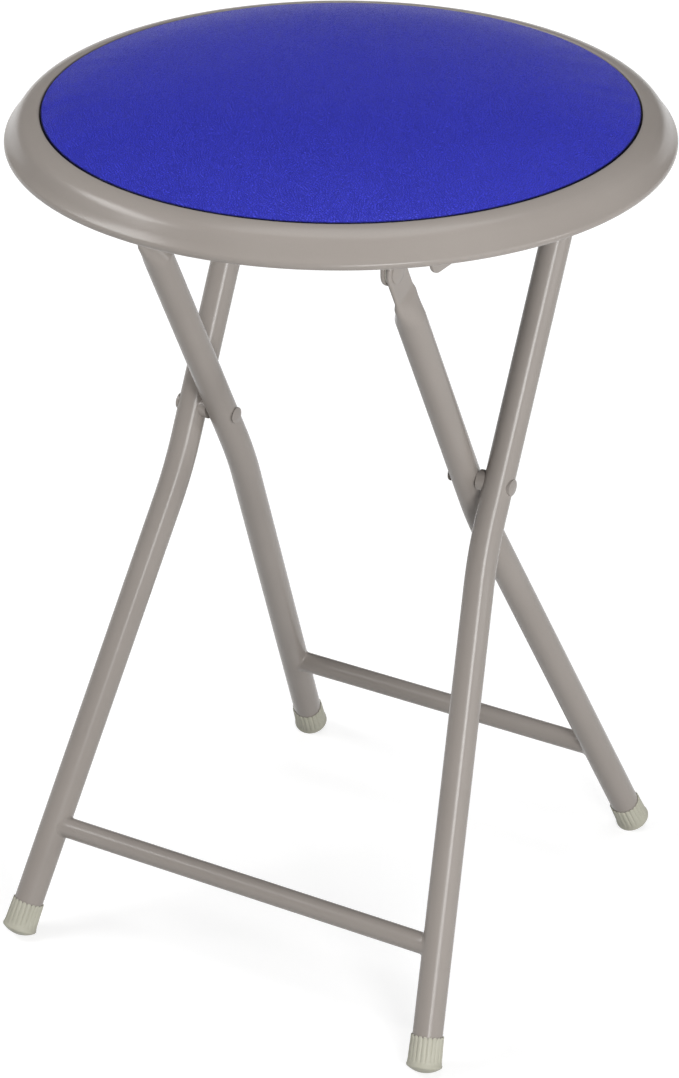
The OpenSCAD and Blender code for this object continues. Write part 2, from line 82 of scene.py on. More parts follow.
# Flattened tops of the inner legs
flat_t = 0.0024
flat_w = 0.0155
flat_l = 0.016
flat_blend = 0.017
flat_shift = 0.001
swell_l = 0.004
swell_t = 0.0062
swell_w = 0.0174
run_out = 0.15
leg_end_angle = 82

# Foot caps, and where a leg's tube starts in its cap: above the edge of the cap's dome
cap_base_r = 0.0089
cap_foot_r = 0.0085
cap_top_r = 0.0082
cap_dome_radius = 0.0138
cap_l = 0.0154
cap_bore_r = 0.00755
cap_floor = 0.002
tube_start = 0.00205
floor_sink = 0.0005
flutes = 20
flute_depth = 0.00042
flute_steps = 8
scallop_h = 0.0010

# Rivets
pivot_head_r = 0.0042
pivot_head_h = 0.0009
pivot_head_edge = 0.0004
pivot_rivet_r = 0.003
hinge_head_r = 0.00575
hinge_head_h = 0.0014
hinge_tail_r = 0.004
hinge_tail_h = 0.0022
head_edge = 0.0005
hinge_rivet_r = 0.0025
rivet_gap = 0.0002

# Seat
shoulder_w = 0.0172
rim_t = 0.0012
ledge_rise = 0.003
ledge_w = 0.008
lip_rise = 0.0007
soft_gap = 0.0003
crown_h = 0.014
edge_drop = 0.0006
cover_t = 0.001
hem_w = 0.024
rail_t = 0.0018
ear_r = 0.0075
tube_gap = 0.0003
catch_wall = 0.0045
catch_base = 0.0035

well_r = rim_r - shoulder_w
ledge_r = well_r - ledge_w
cushion_r = well_r - soft_gap
ledge_z = rim_low.z + ledge_rise
edge_z = rim_high.z - edge_drop
cross_tube_z = catch_high.z - rail_t - tube_gap - tube_r

# Lean of each frame from upright, and of its legs below the bend
outer_lean = math.atan((pivot.y + front_foot_y) / pivot.z)
inner_lean = math.atan((rear_foot_y - pivot.y) / pivot.z)
outer_splay = math.atan((outer_foot_half_w - outer_half_w) / bend_z * math.cos(outer_lean))
inner_splay = math.atan((inner_foot_half_w - inner_half_w) / bend_z * math.cos(inner_lean))
in_outer_frame = Matrix.Translation(pivot) @ Matrix.Rotation(-outer_lean, 4, "X")
in_inner_frame = Matrix.Translation(pivot) @ Matrix.Rotation(inner_lean, 4, "X")


def on_outer(z):
    """Height z measured along the outer frame from the pivots."""
    return (z - pivot.z) / math.cos(outer_lean)


def on_inner(z):
    """Height z measured along the inner frame from the pivots."""
    return (z - pivot.z) / math.cos(inner_lean)


# Node graphs


class Value:
    """A node's output that takes part in Python sums."""

    def __init__(self, graph, socket):
        self.graph = graph
        self.socket = socket

    def __add__(self, other):
        return self.graph.math("ADD", self, other)

    def __sub__(self, other):
        return self.graph.math("SUBTRACT", self, other)

    def __mul__(self, other):
        return self.graph.math("MULTIPLY", self, other)

    def __truediv__(self, other):
        return self.graph.math("DIVIDE", self, other)

    def __pow__(self, other):
        return self.graph.math("POWER", self, other)

    def __rsub__(self, other):
        return self.graph.math("SUBTRACT", other, self)


class Graph:
    """Adds nodes to a tree and links them."""

    def __init__(self, tree):
        self.tree = tree

    def add(self, kind, settings=None, sockets=None, out=0):
        """A new node. Returns the output named by out, or the node itself where out is None."""
        node = self.tree.nodes.new(kind)
        for name, setting in (settings or {}).items():
            setattr(node, name, setting)
        for name, value in (sockets or {}).items():
            self.plug(node.inputs[name], value)
        return node if out is None else Value(self, node.outputs[out])

    def plug(self, socket, value):
        """Gives a socket a constant or links a node's output to it."""
        if isinstance(value, Value):
            self.tree.links.new(value.socket, socket)
        else:
            socket.default_value = value

    def math(self, operation, a, b=0.0):
        return self.add("ShaderNodeMath", {"operation": operation}, {0: a, 1: b})

    def clamp(self, value, low, high):
        """Runs from 0 at low to 1 at high."""
        return self.add("ShaderNodeMapRange", {"clamp": True},
                        {"Value": value, "From Min": low, "From Max": high})

    def blend(self, factor, a, b):
        """Runs from colour a to colour b."""
        return self.add("ShaderNodeMix", {"data_type": "RGBA"}, {0: factor, 6: a, 7: b}, out=2)

    def split(self, vector, axes):
        """The parts of a vector along the named axes."""
        node = self.add("ShaderNodeSeparateXYZ", {}, {"Vector": vector}, out=None)
        return [Value(self, node.outputs[axis]) for axis in axes]

    def noise(self, where, scale, detail=2.0, roughness=0.5):
        return self.add("ShaderNodeTexNoise", {}, {"Vector": where, "Scale": scale, "Detail": detail,
                                                   "Roughness": roughness})

    def bump(self, height, depth):
        return self.add("ShaderNodeBump", {}, {"Height": height, "Distance": depth, "Strength": 1.0})


def emptied(owner):
    """The graph of a material or world, without its first nodes."""
    owner.use_nodes = True
    owner.node_tree.nodes.clear()
    return Graph(owner.node_tree)


# Finishes


def colour(*parts):
    """Linear colour of a display colour whose three parts are given in 0 to 255."""
    parts = [part / 255 for part in parts]
    return tuple(c / 12.92 if c <= 0.04045 else ((c + 0.055) / 1.055) ** 2.4 for c in parts) + (1.0,)


def finish(name, recipe, **constants):
    """A material whose recipe returns the Principled sockets that vary over the surface."""
    material = bpy.data.materials.new(name)
    graph = emptied(material)
    where = graph.add("ShaderNodeTexCoord", out="Object")
    sockets = {key.replace("_", " ").title().replace("Ior", "IOR"): value for key, value in constants.items()}
    sockets.update(recipe(graph, where))
    shader = graph.add("ShaderNodeBsdfPrincipled", {}, sockets)
    graph.add("ShaderNodeOutputMaterial", {}, {"Surface": shader}, out=None)
    return material


def frame_paint(graph, where):
    """Satin taupe paint: faint cloudiness, fine metal flake and a slight orange peel."""
    cloud = graph.noise(where, 14.0, 3.0)
    flake = graph.add("ShaderNodeTexVoronoi", {"feature": "F1"}, {"Vector": where, "Scale": 5200.0},
                      out="Distance")
    tone = graph.clamp(cloud * 0.8 + flake * 0.35, 0.25, 0.95)
    peel = graph.noise(where, 420.0, 2.0)
    return {
        "Base Color": graph.blend(tone, colour(149, 142, 136), colour(160, 153, 147)),
        "Roughness": graph.clamp(cloud, 0.0, 1.0) * 0.04 + 0.22,
        "Normal": graph.bump(peel, 0.00003),
    }


def blue_vinyl(graph, where):
    """Embossed leather grain: small uneven cells with creases between them. The colour holds painted shade in
    the creases and a painted shade line near the edge, where the cushion meets the rim.
    """
    warp = graph.add("ShaderNodeTexNoise", {}, {"Vector": where, "Scale": 260.0, "Detail": 2.0}, out="Color")
    bent = graph.add("ShaderNodeVectorMath", {"operation": "MULTIPLY_ADD"},
                     {0: warp, 1: (0.0016, 0.0016, 0.0016), 2: where})
    cells = graph.add("ShaderNodeTexVoronoi", {"feature": "DISTANCE_TO_EDGE"},
                      {"Vector": bent, "Scale": 900.0}, out="Distance")
    crease = 1.0 - graph.clamp(cells, 0.0, 0.22)
    pebble = graph.noise(where, 1500.0, 2.0)
    cloud = graph.noise(where, 9.0, 2.0)
    # Painted shade: the skin colour darkens in the grain's creases, besides a little random tone
    skin_with_crease_shade = graph.blend(crease * 0.55 + cloud * 0.1, colour(70, 74, 223), colour(37, 39, 148))
    # Painted shade: a near-black line round the cushion's edge, where it meets the rim's lip
    x, y = graph.split(where, "XY")
    painted_edge_shade = graph.clamp((x * x + y * y) ** 0.5, cushion_r - 0.0011, cushion_r - 0.0004)
    return {
        "Base Color": graph.blend(painted_edge_shade, skin_with_crease_shade, colour(10, 10, 34)),
        "Roughness": crease * 0.14 + cloud * 0.06 + 0.28,
        "Normal": graph.bump(pebble * 0.25 - crease, 0.0005),
    }


def ivory_plastic(graph, where):
    """Moulded plastic, a little uneven, greyer where it meets the floor."""
    cloud = graph.noise(where, 60.0, 3.0)
    height, = graph.split(where, "Z")
    grime = (1.0 - graph.clamp(height, 0.0, 0.009)) * cloud
    fine = graph.noise(where, 900.0, 2.0)
    clean = graph.blend(cloud, colour(186, 184, 170), colour(176, 174, 158))
    return {
        "Base Color": graph.blend(grime * 0.55, clean, colour(120, 118, 106)),
        "Roughness": cloud * 0.12 + 0.45,
        "Normal": graph.bump(fine, 0.00003),
    }


def birch_ply(graph, where):
    """Plywood: grain on the faces and darker glue lines round the edge."""
    x, y, z = graph.split(where, "XYZ")
    long = graph.add("ShaderNodeCombineXYZ", {}, {"X": x, "Y": y * 0.12, "Z": z})
    grain = graph.noise(long, 180.0, 5.0)
    layer = graph.math("PINGPONG", (z - board_low.z) / 0.0015, 0.5)
    glue = 1.0 - graph.clamp(layer, 0.0, 0.08)
    wood = graph.blend(grain, colour(214, 182, 138), colour(176, 138, 96))
    return {
        "Base Color": graph.blend(glue * 0.6, wood, colour(110, 78, 50)),
        "Roughness": grain * 0.15 + 0.6,
        "Normal": graph.bump(grain, 0.0001),
    }


def felted_cloth(graph, where):
    """Thin black cloth of pressed fibres with a quilted dot pattern."""
    fibres = graph.noise(where, 700.0, 6.0, 0.7)
    x, y = graph.split(where, "XY")
    dots = graph.math("SINE", x * 2600.0) * graph.math("SINE", y * 2600.0)
    dent = graph.clamp(dots, 0.2, 0.8)
    return {
        "Base Color": graph.blend(fibres, colour(24, 24, 26), colour(58, 58, 62)),
        "Roughness": 0.95 - dent * 0.25,
        "Normal": graph.bump(fibres * 0.6 - dent, 0.00012),
    }


def zinc_plate(graph, where):
    """Zinc-plated steel: bright, with fine turning marks and dull patches."""
    patches = graph.noise(where, 300.0, 4.0)
    marks = graph.noise(where, 3000.0, 2.0)
    return {
        "Base Color": graph.blend(patches, colour(200, 200, 196), colour(168, 168, 162)),
        "Roughness": patches * 0.2 + 0.24,
        "Normal": graph.bump(marks, 0.00002),
    }


def black_plastic(graph, where):
    """Moulded black plastic with a fine spark-eroded texture."""
    texture = graph.noise(where, 1400.0, 3.0)
    cloud = graph.noise(where, 40.0, 2.0)
    return {
        "Base Color": graph.blend(cloud, colour(30, 31, 33), colour(42, 43, 46)),
        "Roughness": texture * 0.2 + 0.42,
        "Normal": graph.bump(texture, 0.00005),
    }


def natural_nylon(graph, where):
    """Milky nylon."""
    cloud = graph.noise(where, 400.0, 2.0)
    return {
        "Base Color": graph.blend(cloud, colour(226, 224, 214), colour(206, 204, 192)),
        "Roughness": cloud * 0.1 + 0.35,
    }


paint = finish("frame_paint", frame_paint, specular_ior_level=0.24)
vinyl = finish("blue_vinyl", blue_vinyl, specular_ior_level=0.11)
ivory = finish("ivory_plastic", ivory_plastic, specular_ior_level=0.4)
plywood = finish("birch_plywood", birch_ply)
cloth = finish("liner_cloth", felted_cloth, sheen_weight=0.2)
zinc = finish("zinc_plate", zinc_plate, metallic=1.0)
black = finish("black_plastic", black_plastic)
nylon = finish("natural_nylon", natural_nylon)

# Meshes

sharp_angle = 35


def hand(side):
    """The name of a side, which is 1 or -1."""
    return "right" if side > 0 else "left"


def linked(name, data):
    """A new object in the scene."""
    thing = bpy.data.objects.new(name, data)
    bpy.context.scene.collection.objects.link(thing)
    return thing


def face_outward(mesh, merge=0.0):
    """Turns a mesh's faces outward, once points nearer than the merge distance have become one."""
    work = bmesh.new()
    work.from_mesh(mesh)
    if merge:
        bmesh.ops.remove_doubles(work, verts=work.verts, dist=merge)
    bmesh.ops.recalc_face_normals(work, faces=work.faces)
    work.to_mesh(mesh)
    work.free()


def piece(name, mesh, material, body, replaced):
    """Names a finished mesh, dresses it and lets it ride on a body in place of the frame's own solids."""
    mesh.name = name
    face_outward(mesh, merge=1e-7)
    mesh.shade_smooth()
    mesh.set_sharp_from_angle(angle=math.radians(sharp_angle))
    mesh.materials.clear()
    mesh.materials.append(material)
    thing = linked(name, mesh)
    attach(thing, body)
    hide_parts(*replaced)
    return thing


def mesh_of(points, faces, place=None):
    """A mesh of points and faces, moved to its place by a matrix if one is given."""
    mesh = bpy.data.meshes.new("shape")
    mesh.from_pydata([tuple(p) for p in points], [], faces)
    if place is not None:
        mesh.transform(place)
    return mesh


def polar(radius, turn):
    """A point on a circle about the origin."""
    return radius * math.cos(turn), radius * math.sin(turn)


def loft(rings, closed=False):
    """Skin over rings of equally many points. Open ends are capped, and a closed skin joins them instead."""
    count = len(rings[0])
    points = [p for ring in rings for p in ring]
    spans = len(rings) if closed else len(rings) - 1
    faces = []
    for i in range(spans):
        a, b = i * count, (i + 1) % len(rings) * count
        for j in range(count):
            k = (j + 1) % count
            faces.append((a + j, a + k, b + k, b + j))
    if not closed:
        faces.append(tuple(range(count))[::-1])
        faces.append(tuple(range((len(rings) - 1) * count, len(rings) * count)))
    return points, faces


def lathe(profile, steps):
    """Turns a closed outline of (radius, height) points about Z."""
    rings = []
    for i in range(steps):
        turn = 2 * math.pi * i / steps
        rings.append([(*polar(r, turn), z) for r, z in profile])
    return mesh_of(*loft(rings, closed=True))


def arc(x, y, radius, start, end, steps):
    """Points along an arc, angles in degrees."""
    turns = [math.radians(start + (end - start) * i / steps) for i in range(steps + 1)]
    return [(x + radius * math.cos(turn), y + radius * math.sin(turn)) for turn in turns]


def spread(line, distance):
    """A line of points moved sideways by a distance, to its left."""
    line = np.array(line, float)
    step = np.diff(line, axis=0)
    step /= np.linalg.norm(step, axis=1)[:, None]
    side = np.stack([-step[:, 1], step[:, 0]], 1)
    corner = side[:-1] + side[1:]
    corner /= (corner ** 2).sum(1)[:, None] / 2
    return [tuple(p) for p in line + distance * np.concatenate([side[:1], corner, side[-1:]])]


def modified(mesh, kind, **settings):
    """The mesh after one modifier, applied."""
    thing = linked("work", mesh)
    modifier = thing.modifiers.new("step", kind)
    for name, value in settings.items():
        setattr(modifier, name, value)
    result = evaluated(thing)
    bpy.data.objects.remove(thing)
    return result


def evaluated(thing):
    """The mesh of an object after its modifiers."""
    graph = bpy.context.evaluated_depsgraph_get()
    return bpy.data.meshes.new_from_object(thing.evaluated_get(graph))


# Geometry trees


def geometry_tree(name, inputs):
    """A tree with a Geometry input and output and the named inputs. Returns its graph and its inputs."""
    tree = bpy.data.node_groups.new(name, "GeometryNodeTree")
    tree.interface.new_socket("Geometry", in_out="INPUT", socket_type="NodeSocketGeometry")
    tree.interface.new_socket("Geometry", in_out="OUTPUT", socket_type="NodeSocketGeometry")
    for label, kind in inputs.items():
        tree.interface.new_socket(label, in_out="INPUT", socket_type="NodeSocket" + kind)
    graph = Graph(tree)
    source = graph.add("NodeGroupInput", out=None)
    return graph, {socket.name: Value(graph, socket) for socket in source.outputs if socket.name}


def end_tree(graph, geometry, material):
    """Ends a tree in Realize Instances and Set Material."""
    solid = graph.add("GeometryNodeRealizeInstances", {}, {"Geometry": geometry})
    dressed = graph.add("GeometryNodeSetMaterial", {}, {"Geometry": solid, "Material": material})
    graph.add("NodeGroupOutput", {}, {"Geometry": dressed}, out=None)


def grown(mesh, graph, **values):
    """The mesh that a geometry tree makes from a start mesh and the values of its inputs."""
    thing = linked("start", mesh)
    modifier = thing.modifiers.new("tree", "NODES")
    modifier.node_group = graph.tree
    for item in graph.tree.interface.items_tree:
        if item.in_out == "INPUT" and item.name in values:
            modifier[item.identifier] = values[item.name]
    result = evaluated(thing)
    bpy.data.objects.remove(thing)
    return result


def bent_tube_tree():
    """A round tube along a line of points, bent at each by that point's own radius."""
    graph, given = geometry_tree("bent_tube", {"Radius": "Float", "Sides": "Int", "Steps": "Int"})
    line = graph.add("GeometryNodeMeshToCurve", {}, {"Mesh": given["Geometry"]})
    bend = graph.add("GeometryNodeInputNamedAttribute", {"data_type": "FLOAT"}, {"Name": "bend_radius"})
    path = graph.add("GeometryNodeFilletCurve", {"mode": "POLY"},
                     {"Curve": line, "Count": given["Steps"], "Radius": bend})
    ring = graph.add("GeometryNodeCurvePrimitiveCircle", {}, {"Resolution": given["Sides"],
                                                              "Radius": given["Radius"]})
    tube = graph.add("GeometryNodeCurveToMesh", {}, {"Curve": path, "Profile Curve": ring, "Fill Caps": True})
    end_tree(graph, tube, paint)
    return graph


def scatter_tree(material):
    """A copy of an object at each point, turned by the point's own angles."""
    graph, given = geometry_tree("scatter_" + material.name, {"Piece": "Object"})
    info = graph.add("GeometryNodeObjectInfo", {}, {"Object": given["Piece"]}, out="Geometry")
    turn = graph.add("GeometryNodeInputNamedAttribute", {"data_type": "FLOAT_VECTOR"}, {"Name": "turn"})
    copies = graph.add("GeometryNodeInstanceOnPoints", {},
                       {"Points": given["Geometry"], "Instance": info, "Rotation": turn})
    end_tree(graph, copies, material)
    return graph


bent_tube = bent_tube_tree()


def tube(points, bends, radius, place, steps=32, sides=48):
    """Mesh of a round tube through points, each with its own bend radius."""
    mesh = bpy.data.meshes.new("line")
    mesh.from_pydata([tuple(p) for p in points], [(i, i + 1) for i in range(len(points) - 1)], [])
    attribute = mesh.attributes.new("bend_radius", "FLOAT", "POINT")
    attribute.data.foreach_set("value", bends)
    result = grown(mesh, bent_tube, Radius=radius, Sides=sides, Steps=steps)
    result.transform(place)
    return result


def scatter(template, points, turns, material):
    """Mesh with a copy of the template at each point, turned by the three angles given for it."""
    mesh = bpy.data.meshes.new("places")
    mesh.from_pydata([tuple(p) for p in points], [], [])
    attribute = mesh.attributes.new("turn", "FLOAT_VECTOR", "POINT")
    attribute.data.foreach_set("vector", [angle for turn in turns for angle in turn])
    thing = linked("template", template)
    result = grown(mesh, scatter_tree(material), Piece=thing)
    bpy.data.objects.remove(thing)
    return result


# Camera, fitted to the photo
camera_at = (0.9083, -1.5190, 1.1281)
camera_to = (-0.00026, -0.00094, 0.2074)
camera_lens = 133.03
sensor_w = 36.0

# Lamps round the stool: direction and distance from its middle, size and watts
stool_middle = Vector((0, 0, 0.25))
lamps = {
    "front_right_box": ((0.70, -0.62, 0.30), 2.6, (0.65, 0.5), 30.0),
    "low_front_box": ((0.585, -0.797, 0.143), 2.6, (0.35, 0.25), 14.0),
    "right_box": ((0.979, 0.194, 0.10), 2.6, (0.3, 0.3), 9.0),
    "right_sheet": ((0.95, -0.15, 0.2), 2.8, (1.4, 0.9), 14.0),
    "front_left_box": ((-0.66, -0.37, 0.66), 2.6, (1.4, 0.6), 30.0),
    "top_sheet": ((0.0, 0.1, 1.0), 2.8, (2.0, 2.0), 36.0),
}

# Floor and backdrop
floor_reach = 12.0
floor_curve = 0.8
backdrop_h = 1.0
floor_grey = 0.42
near_glow = 0.75
glow_from, glow_to = 0.4, 2.5
studio_grey = (0.02, 0.02, 0.021, 1.0)


def camera():
    """The photo's own point of view."""
    data = bpy.data.cameras.new("camera")
    data.lens = camera_lens
    data.sensor_width = sensor_w
    data.clip_end = 50.0
    thing = linked("camera", data)
    thing.location = camera_at
    thing.rotation_euler = (Vector(camera_to) - thing.location).to_track_quat("-Z", "Y").to_euler()
    bpy.context.scene.camera = thing


def soft_light(name, direction, distance, size, power):
    """An area light that faces the stool's middle."""
    data = bpy.data.lights.new(name, "AREA")
    data.shape = "RECTANGLE"
    data.size, data.size_y = size
    data.energy = power
    thing = linked(name, data)
    thing.location = stool_middle + Vector(direction).normalized() * distance
    thing.rotation_euler = (stool_middle - thing.location).to_track_quat("-Z", "Y").to_euler()


def surroundings():
    """A dim, even studio behind the lamps."""
    world = bpy.data.worlds.new("studio")
    bpy.context.scene.world = world
    graph = emptied(world)
    light = graph.add("ShaderNodeBackground", {}, {"Color": studio_grey})
    graph.add("ShaderNodeOutputWorld", {}, {"Surface": light}, out=None)


def floor():
    """A pale floor that curves up into a far, low backdrop. What is seen of it, straight on or in gloss, is
    white: near the stool by the lamps' light and some glow, so that the shadow stays, and further off by
    more glow."""
    material = bpy.data.materials.new("floor")
    graph = emptied(material)
    rays = graph.add("ShaderNodeLightPath", out=None)
    straight, gloss, through = (Value(graph, rays.outputs["Is " + kind + " Ray"])
                                for kind in ("Camera", "Glossy", "Transmission"))
    seen = graph.clamp(straight + gloss + through, 0.0, 1.0)
    where = graph.add("ShaderNodeTexCoord", out="Object")
    away = graph.add("ShaderNodeVectorMath", {"operation": "LENGTH"}, {0: where}, out="Value")
    glow = graph.clamp(away, glow_from, glow_to) * (1.0 - near_glow) + near_glow
    matt = graph.add("ShaderNodeBsdfDiffuse", {}, {"Color": (floor_grey, floor_grey, floor_grey, 1.0)})
    shine = graph.add("ShaderNodeEmission", {}, {"Color": (1.0, 1.0, 1.0, 1.0), "Strength": seen * glow})
    both = graph.add("ShaderNodeAddShader", {}, {0: matt, 1: shine})
    graph.add("ShaderNodeOutputMaterial", {}, {"Surface": both}, out=None)
    flat_r = floor_reach - floor_curve
    profile = [(0.001, 0), (1, 0), (4, 0), (flat_r, 0)]
    profile += arc(flat_r, floor_curve, floor_curve, -90, 0, 12)[1:] + [(floor_reach, backdrop_h)]
    rings = [[(*polar(r, math.pi * k / 48), z) for k in range(96)] for r, z in profile]
    points, faces = loft(rings)
    mesh = mesh_of(points, faces[:-1])
    mesh.materials.append(material)
    linked("floor", mesh)


camera()
surroundings()
floor()
bpy.context.scene.view_settings.view_transform = "Standard"
for name, lamp in lamps.items():
    soft_light(name, *lamp)

# Seat


def crown(x, r):
    """Height of the cushion's top at a distance x from its middle."""
    return edge_z + crown_h * max(0.0, 1 - (x / r) ** 2.5) ** (2 / 3)


def seat_rim():
    """One pressed sheet: ledge, well wall, shoulder, a slope that flares out and a lip rolled under."""
    fold = 0.0010
    edge = 0.0010
    lip = 0.0024
    lip_start, lip_end = 46, -200
    slope_leans = ((0, 0.10, 0.32, 0.50, 0.62, 0.80, 1.0), (88, 80, 70, 50, 38, 36, lip_start))
    top = rim_high.z
    lip_x, lip_z = rim_r - lip, rim_low.z + lip_rise + lip
    start = (well_r + edge, top)
    meet = math.radians(lip_start)
    end = (lip_x + lip * math.cos(meet), lip_z + lip * math.sin(meet))
    lean = np.radians(np.interp(np.linspace(0, 1, 81), *slope_leans))
    run = np.concatenate([[0], np.cumsum((np.sin(lean[1:]) + np.sin(lean[:-1])) / 2)])
    fall = np.concatenate([[0], np.cumsum((np.cos(lean[1:]) + np.cos(lean[:-1])) / 2)])
    slope = [(start[0] + (end[0] - start[0]) * x / run[-1], start[1] + (end[1] - start[1]) * z / fall[-1])
             for x, z in zip(run, fall)]
    sheet = [(ledge_r, ledge_z)]
    sheet += arc(well_r - fold, ledge_z + fold, fold, -90, 0, 6)
    sheet += arc(well_r + edge, top - edge, edge, 180, 90, 10)
    sheet += slope[1:]
    sheet += arc(lip_x, lip_z, lip, lip_start, lip_end, 30)[1:]
    outline = sheet + spread(sheet, -rim_t)[::-1]
    piece("seat_rim_sheet", lathe(outline, 256), paint, "seat", ["seat_rim"])


def band(last, this):
    """Quads between two closed rings of point numbers."""
    count = len(last)
    return [(last[k], this[k], this[(k + 1) % count], last[(k + 1) % count]) for k in range(count)]


def disc_grid(radius, cells, rings):
    """Quads over a disc: a rounded square of cells in the middle and rings that crowd towards the edge.
    Returns the flat points, the faces and the outermost ring."""
    core_share = 0.42
    roundness = 0.45
    core = core_share * radius
    angles = [math.pi / 4 * (2 * i / cells - 1) for i in range(cells + 1)]
    points, faces, at = [], [], {}
    for i, a in enumerate(angles):
        for j, b in enumerate(angles):
            u, v = math.tan(a), math.tan(b)
            span = math.hypot(u, v) or 1.0
            pull = roundness + (1 - roundness) * max(abs(u), abs(v)) / span
            at[i, j] = len(points)
            points.append((core * u * pull, core * v * pull))
    for i in range(cells):
        for j in range(cells):
            faces.append((at[i, j], at[i + 1, j], at[i + 1, j + 1], at[i, j + 1]))
    border = [at[i, 0] for i in range(cells)] + [at[cells, j] for j in range(cells)]
    border += [at[cells - i, cells] for i in range(cells)] + [at[0, cells - j] for j in range(cells)]
    start = [points[k] for k in border]
    last = border
    for ring in range(1, rings + 1):
        share = math.sin(math.pi / 2 * ring / rings)
        this = []
        for x, y in start:
            edge_x, edge_y = polar(radius, math.atan2(y, x))
            this.append(len(points))
            points.append((x + (edge_x - x) * share, y + (edge_y - y) * share))
        faces += band(last, this)
        last = this
    return points, faces, last


def swollen(mesh, held, pressure, cap):
    """The mesh after its free points have swollen under pressure, none by more than the cap."""
    swell_frames = 20
    before = np.array([v.co[:] for v in mesh.vertices])
    thing = linked("swelling", mesh)
    group = thing.vertex_groups.new(name="held")
    group.add(held, 1.0, "REPLACE")
    step = thing.modifiers.new("swell", "CLOTH")
    step.settings.vertex_group_mass = "held"
    step.settings.use_pressure = True
    step.settings.uniform_pressure_force = pressure
    step.settings.effector_weights.gravity = 0.0
    scene = bpy.context.scene
    for frame_number in range(1, swell_frames + 1):
        scene.frame_set(frame_number)
    after = evaluated(thing)
    moved = np.array([v.co[:] for v in after.vertices]) - before
    scene.frame_set(1)
    bpy.data.objects.remove(thing)
    length = np.linalg.norm(moved, axis=1)[:, None]
    moved *= np.minimum(1.0, cap / np.maximum(length, 1e-9))
    mesh.vertices.foreach_set("co", (before + moved).ravel())
    mesh.update()
    return mesh


def seat_cushion():
    """Vinyl drawn over foam and turned under the board, as one closed form. It starts a little low and
    swells, but not above its crown."""
    first_share = 0.93
    free_share = 0.985
    turn = 0.0012
    under_w = 0.010
    thin = 0.0001
    pressure, swell_cap = 4.0, 0.004
    inside_r = board_high.x + 0.00004
    flat, faces, last = disc_grid(cushion_r, 32, 26)
    points = [(x, y, edge_z + (crown(math.hypot(x, y), cushion_r) - edge_z) * first_share) for x, y in flat]
    free = {i for i, (x, y) in enumerate(flat) if math.hypot(x, y) < free_share * cushion_r}
    side = [(cushion_r, z) for z in np.linspace(edge_z, ledge_z + turn, 6)[1:]]
    side += arc(cushion_r - turn, ledge_z + turn, turn, 0, -90, 4)[1:]
    side += [(cushion_r - under_w, ledge_z), (cushion_r - hem_w, ledge_z),
             (cushion_r - hem_w, ledge_z + cover_t - thin), (inside_r, board_low.z - thin)]
    side += [(inside_r * share, board_high.z + thin) for share in (1.0, 0.6, 0.15)]
    for r, z in side:
        this = []
        for k in last:
            angle = math.atan2(points[k][1], points[k][0])
            this.append(len(points))
            points.append((*polar(r, angle), z))
        faces += band(last, this)
        last = this
    faces.append(tuple(last))
    mesh = mesh_of(points, faces)
    mesh = swollen(mesh, [i for i in range(len(points)) if i not in free], pressure, swell_cap)
    for i in free:
        place = mesh.vertices[i].co
        place.z = min(place.z, crown(math.hypot(place.x, place.y), cushion_r))
    mesh = modified(mesh, "SUBSURF", levels=1, render_levels=1)
    cushion = piece("seat_cushion", mesh, vinyl, "seat", ["seat_cover", "seat_foam"])


def seat_liner():
    """Thin cloth stapled under the board, hanging a little between the rails and puckered at its edge."""
    cloth_t = 0.0004
    sag, sag_x, sag_y = 0.0008, 0.058, 0.100
    pucker_h, pucker_r, puckers = 0.00025, 0.122, 16
    flat, faces, _ = disc_grid(liner_high.x, 24, 12)
    points = []
    for x, y in flat:
        r = math.hypot(x, y)
        between = max(0.0, 1 - (x / sag_x) ** 2) * max(0.0, 1 - (y / sag_y) ** 2)
        ripple = 0.5 + 0.5 * math.cos(puckers * math.atan2(y, x) + 3 * x / liner_high.x)
        pucker = pucker_h * ripple * max(0.0, (r - pucker_r) / (liner_high.x - pucker_r))
        points.append((x, y, liner_high.z - sag * between ** 2 - pucker))
    sheet = modified(mesh_of(points, faces), "SOLIDIFY", thickness=cloth_t, offset=-1.0)
    liner = piece("seat_liner_cloth", sheet, cloth, "seat", ["seat_liner"])


